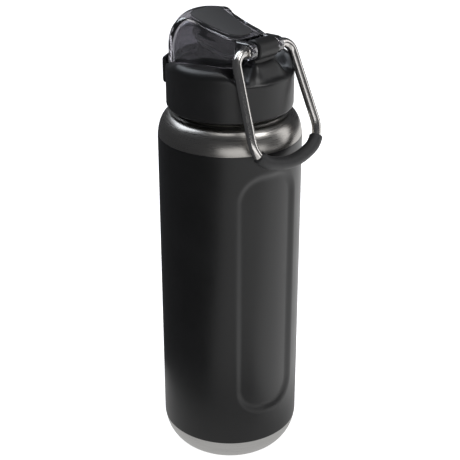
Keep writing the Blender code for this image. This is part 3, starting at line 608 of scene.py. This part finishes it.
def ear(side):
    outline = [(15.6, 256.4), (15.6, 246.6)]
    for step in range(29):
        angle = math.radians(-110.0 + 200.0 * step / 28)
        outline.append((HINGE_Y + LUG_R * math.cos(angle), HINGE_Z + LUG_R * math.sin(angle)))
    rows = [[(side * x, y, z) for y, z in outline] for x in (LUG_IN, LUG_OUT)]
    count = len(outline)
    faces = [tuple(reversed(range(count))), tuple(range(count, 2 * count))]
    for index in range(count):
        after = (index + 1) % count
        faces.append((index, after, count + after, count + index))
    made = make("ear", rows[0] + rows[1], faces)
    fix = bmesh.new()
    fix.from_mesh(made.data)
    bmesh.ops.recalc_face_normals(fix, faces=fix.faces)
    fix.to_mesh(made.data)
    fix.free()
    return bevel(made, 0.9, 4)


def cover():
    shell = loft("flip_cover", cover_rings(0.0))
    cut(shell, loft("hollow", cover_rings(COVER_WALL)))
    groove_floor = COVER_SUNK + PAD_RECESS
    cut(shell, sheet_form("groove", pad_outline(0.35), lambda y: cover_top(y) - groove_floor,
                          lambda y: cover_top(y) + 3.0))
    join_solids(shell, ear(-1))
    join_solids(shell, ear(1))
    cut(shell, rod("bore", (-15, HINGE_Y, HINGE_Z), (15, HINGE_Y, HINGE_Z), PIVOT_BORE_R, 32))
    place(soften(shell, 30), "cover_lid", "cover", SMOKE, "cover")


def pad():
    steps = [(0.0, 0.35 - PAD_RECESS), (0.0, PAD_PROUD - 0.35), (0.12, PAD_PROUD - 0.12), (0.4, PAD_PROUD)]
    rings = []
    for inset, height in steps:
        rings.append([(x, y, cover_top(y) - COVER_SUNK + height) for x, y in pad_outline(-inset)])
    place(soften(loft("top_pad", rings), 40), "cover_lid", "cover_pad", PAD, "cover_pad")


def seal_block():
    drop = COVER_SUNK + COVER_WALL + 1.3
    outline = stadium(SEAL_MID_Y, SEAL_HALF_L, SEAL_HALF_W)
    carrier = sheet_form("seal_block", outline, seal_plane, lambda y: cover_top(y) - drop)
    carrier = soften(bevel(carrier, 0.5, 3), 35)
    place(carrier, "cover_lid", "seal_carrier", CARRIER_PLASTIC, "seal_carrier")


def spout():
    outline = stadium(SPOUT_Y, SPOUT_HALF_L, SPOUT_HALF_W)
    mouth = sheet_form("drinking_spout", outline, lambda y: cover_floor(y) - 0.1,
                       lambda y: seal_plane(y) - 2.1)
    join_solids(mouth, rod("tube", (0, SPOUT_Y, 223.6), (0, SPOUT_Y, 242.6), SPOUT_TUBE_R, 64))
    room = stadium(SPOUT_Y, SPOUT_HALF_L - 1.8, SPOUT_HALF_W - 1.8)
    cut(mouth, sheet_form("room", room, lambda y: cover_floor(y) + 1.2, lambda y: 255.0))
    cut(mouth, rod("bore", (0, SPOUT_Y, 220), (0, SPOUT_Y, 250), SPOUT_BORE_R, 64))
    place(soften(bevel(mouth, 0.35, 3), 35), "cap", "spout", INNER_PLASTIC, "spout")


# ---------------------------------------------------------------- carry loop
def rounded_path(corners, radii, count=18):
    path = [Vector(corners[0])]
    for index, radius in enumerate(radii, start=1):
        before, here, after = (Vector(corners[k]) for k in (index - 1, index, index + 1))
        back, ahead = (before - here).normalized(), (after - here).normalized()
        angle = back.angle(ahead)
        reach = radius / math.tan(angle / 2)
        centre = here + (back + ahead).normalized() * radius / math.sin(angle / 2)
        start = here + back * reach - centre
        sweep_angle = start.angle_signed(here + ahead * reach - centre)
        for step in range(count + 1):
            path.append(centre + Matrix.Rotation(-sweep_angle * step / count, 2) @ start)
    path.append(Vector(corners[-1]))
    return path


def on_loop(point):
    lean = math.radians(LOOP_HANG)
    across, down = point
    return (across, HINGE_Y + down * math.sin(lean), HINGE_Z - down * math.cos(lean))


def loop():
    corners = [(LOOP_SHOULDER, 0), (LOOP_TOP_W, 0), (LOOP_LOW_W, LOOP_LOW_V), (0, LOOP_END_V)]
    corners += [(-LOOP_LOW_W, LOOP_LOW_V), (-LOOP_TOP_W, 0), (-LOOP_SHOULDER, 0)]
    path = rounded_path(corners, LOOP_BENDS)
    places = [(5.6, 0), (5.9, 0), (LOOP_SHOULDER - 0.5, 0), (LOOP_SHOULDER - 0.25, 0)] + path
    places += [(-LOOP_SHOULDER + 0.25, 0), (-LOOP_SHOULDER + 0.5, 0), (-5.9, 0), (-5.6, 0)]
    swell = [PIVOT_R - 0.3, PIVOT_R, PIVOT_R, WIRE_R - 0.3] + [WIRE_R] * len(path)
    swell += [WIRE_R - 0.3, PIVOT_R, PIVOT_R, PIVOT_R - 0.3]
    wire = soften(sweep("wire_loop", [on_loop(p) for p in places], swell, 40), 40)
    place(wire, "loop", "carry_loop", WIRE_STEEL, "carry_loop")
    grip = [p for p in path if p[1] > GRIP_START_V]
    first, last = grip[0], grip[-1]
    ahead, behind = (grip[1] - first).normalized(), (grip[-2] - last).normalized()
    ends = (0.0, 0.25, 0.7)
    lead = [first + ahead * e for e in ends]
    trail = [last + behind * e for e in reversed(ends)]
    middle = [p for p in grip[1:-1] if (p - first).length > 1.2 and (p - last).length > 1.2]
    tip = [GRIP_R - 0.7, GRIP_R - 0.25, GRIP_R]
    radii = tip + [GRIP_R] * len(middle) + tip[::-1]
    sleeve = sweep("grip_tube", [on_loop(p) for p in lead + middle + trail], radii, 40)
    place(soften(sleeve, 50), "loop", "grip_sleeve", GRIP, "grip_sleeve")


def carried_over():
    """Better finishes for the CAD nodes that are shown as they are."""
    looks = {"vacuum_bottom": LINER_STEEL, "inner_liner": LINER_STEEL, "vacuum_seal": SOLDER,
             "vacuum_getter": GETTER, "cap_gasket": SILICONE, "cap_thread_ring": INNER_PLASTIC,
             "stopper_cup": INNER_PLASTIC, "cap_insulation": FOAM, "spout_seal": SILICONE,
             "vent_valve": VALVE, "torsion_spring": SPRING, "latch_spring": SPRING,
             "cover_seal": SILICONE, "loop_washer_left": HARDWARE, "loop_washer_right": HARDWARE}
    for node, finish in looks.items():
        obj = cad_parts[node]
        obj.data.materials.clear()
        obj.data.materials.append(finish)
        soften(obj, 30)


# ---------------------------------------------------------------- stage
VIEW_AZIMUTH = math.radians(46.0)      # of the camera from +X
VIEW_DOWN = math.radians(25.92)
VIEW_REACH, VIEW_Z = 0.6055, 0.4328     # metres from the bottle's axis, and above the floor
FLOOR_HALF, WALL_SIZE = 6.0, 5.0
TOWARD = Vector((math.cos(VIEW_AZIMUTH), math.sin(VIEW_AZIMUTH), 0.0))
RIGHT = Vector((-math.sin(VIEW_AZIMUTH), math.cos(VIEW_AZIMUTH), 0.0))


def staged(name, spots, faces, finish):
    """A mesh in metres that belongs to the studio."""
    mesh = bpy.data.meshes.new(name)
    mesh.from_pydata(spots, [], faces)
    mesh.materials.append(finish)
    made = bpy.data.objects.new(name, mesh)
    bpy.context.scene.collection.objects.link(made)
    return made


def paper_sheet(name, corners, height, finish):
    """A flat sheet; corners are (right of camera, toward camera) in metres."""
    spots = [RIGHT * right + TOWARD * toward + Vector((0.0, 0.0, height)) for right, toward in corners]
    return staged(name, spots, [tuple(range(len(spots)))], finish)


def glow(made, strength):
    core = made.node_tree.nodes["Principled BSDF"]
    core.inputs["Emission Color"].default_value = (1.0, 1.0, 1.0, 1.0)
    core.inputs["Emission Strength"].default_value = strength
    return made


def bounce(name, strength, corners, height):
    """A sheet that only shows in reflections, like the paper of a lit table."""
    sheet = paper_sheet(name, corners, height, glow(shader(name, (0.0, 0.0, 0.0), 1.0), strength))
    sheet.visible_camera = False
    sheet.visible_shadow = False
    sheet.visible_transmission = False
    sheet.visible_diffuse = False


def circle(radius, count):
    turns = [2 * math.pi * k / count for k in range(count)]
    return [(radius * math.cos(turn), radius * math.sin(turn)) for turn in turns]


def wall(finish):
    """A pale wall all round, far enough off to show only as the background."""
    count = 32
    verts = [(x, y, z) for z in (0.0, WALL_SIZE) for x, y in circle(WALL_SIZE, count)]
    faces = [(k, (k + 1) % count, (k + 1) % count + count, k + count) for k in range(count)]
    made = staged("wall", verts, faces, finish)
    made.visible_glossy = False
    made.visible_diffuse = False
    made.visible_shadow = False


def stage():
    paper = glow(shader("floor_paper", (0.93, 0.93, 0.93), 0.9), 0.85)
    half = FLOOR_HALF
    floor = paper_sheet("floor", [(-half, -half), (half, -half), (half, half), (-half, half)], 0.0, paper)
    floor.visible_glossy = False
    wall(paper)
    bounce("bounce_near", 0.55, circle(0.1, 48), 0.0004)
    bounce("bounce_right", 1.2, [(0.06, -0.9), (1.1, -0.9), (1.1, 0.5), (0.08, 0.12)], 0.0006)
    front = [(-0.08, 0.12), (0.08, 0.12), (1.1, 0.5), (0.9, 1.2), (-0.12, 1.2)]
    bounce("bounce_front", 0.7, front, 0.0008)
    world = bpy.data.worlds.new("studio")
    world.use_nodes = True
    world.node_tree.nodes["Background"].inputs["Color"].default_value = (0.9, 0.93, 1.0, 1.0)
    world.node_tree.nodes["Background"].inputs["Strength"].default_value = 0.07
    bpy.context.scene.world = world


def lamp(name, spot, size, radiance, aim=0.2, colour=(1.0, 1.0, 1.0)):
    """A soft panel at (right of camera, toward camera, height), aimed at a height on the axis."""
    data = bpy.data.lights.new(name, "AREA")
    data.shape = "RECTANGLE"
    data.size, data.size_y = size
    data.energy = radiance * math.pi * size[0] * size[1]
    data.color = colour
    obj = bpy.data.objects.new(name, data)
    right, toward, height = spot
    obj.location = RIGHT * right + TOWARD * toward + Vector((0, 0, height))
    obj.rotation_euler = (Vector((0, 0, aim)) - obj.location).to_track_quat("-Z", "Y").to_euler()
    bpy.context.scene.collection.objects.link(obj)


def light_and_camera():
    lamp("key_panel", (0.72, 0.36, 1.15), (0.34, 0.34), 9.0)
    lamp("edge_panel", (-0.64, -0.52, 1.18), (1.0, 0.7), 3.4, 0.25, (0.86, 0.92, 1.0))
    lamp("top_panel", (0.05, 0.0, 1.5), (1.0, 0.8), 1.6)
    lamp("side_panel", (1.2, -0.2, 0.5), (0.5, 0.9), 1.6)
    lamp("front_panel", (0.36, 1.0, 0.2), (1.5, 0.36), 1.4)
    data = bpy.data.cameras.new("camera")
    data.sensor_width = 36.0
    data.lens = 91.42
    data.clip_start = 0.05
    camera = bpy.data.objects.new("camera", data)
    camera.location = TOWARD * VIEW_REACH + Vector((0.0, 0.0, VIEW_Z))
    look = -TOWARD * math.cos(VIEW_DOWN) - Vector((0.0, 0.0, math.sin(VIEW_DOWN)))
    camera.rotation_euler = look.to_track_quat("-Z", "Y").to_euler()
    bpy.context.scene.collection.objects.link(camera)
    bpy.context.scene.camera = camera
    bpy.context.scene.view_settings.view_transform = "Standard"


body()
base()
cap()
button()
cover()
pad()
seal_block()
spout()
loop()
carried_over()
stage()
light_and_camera()
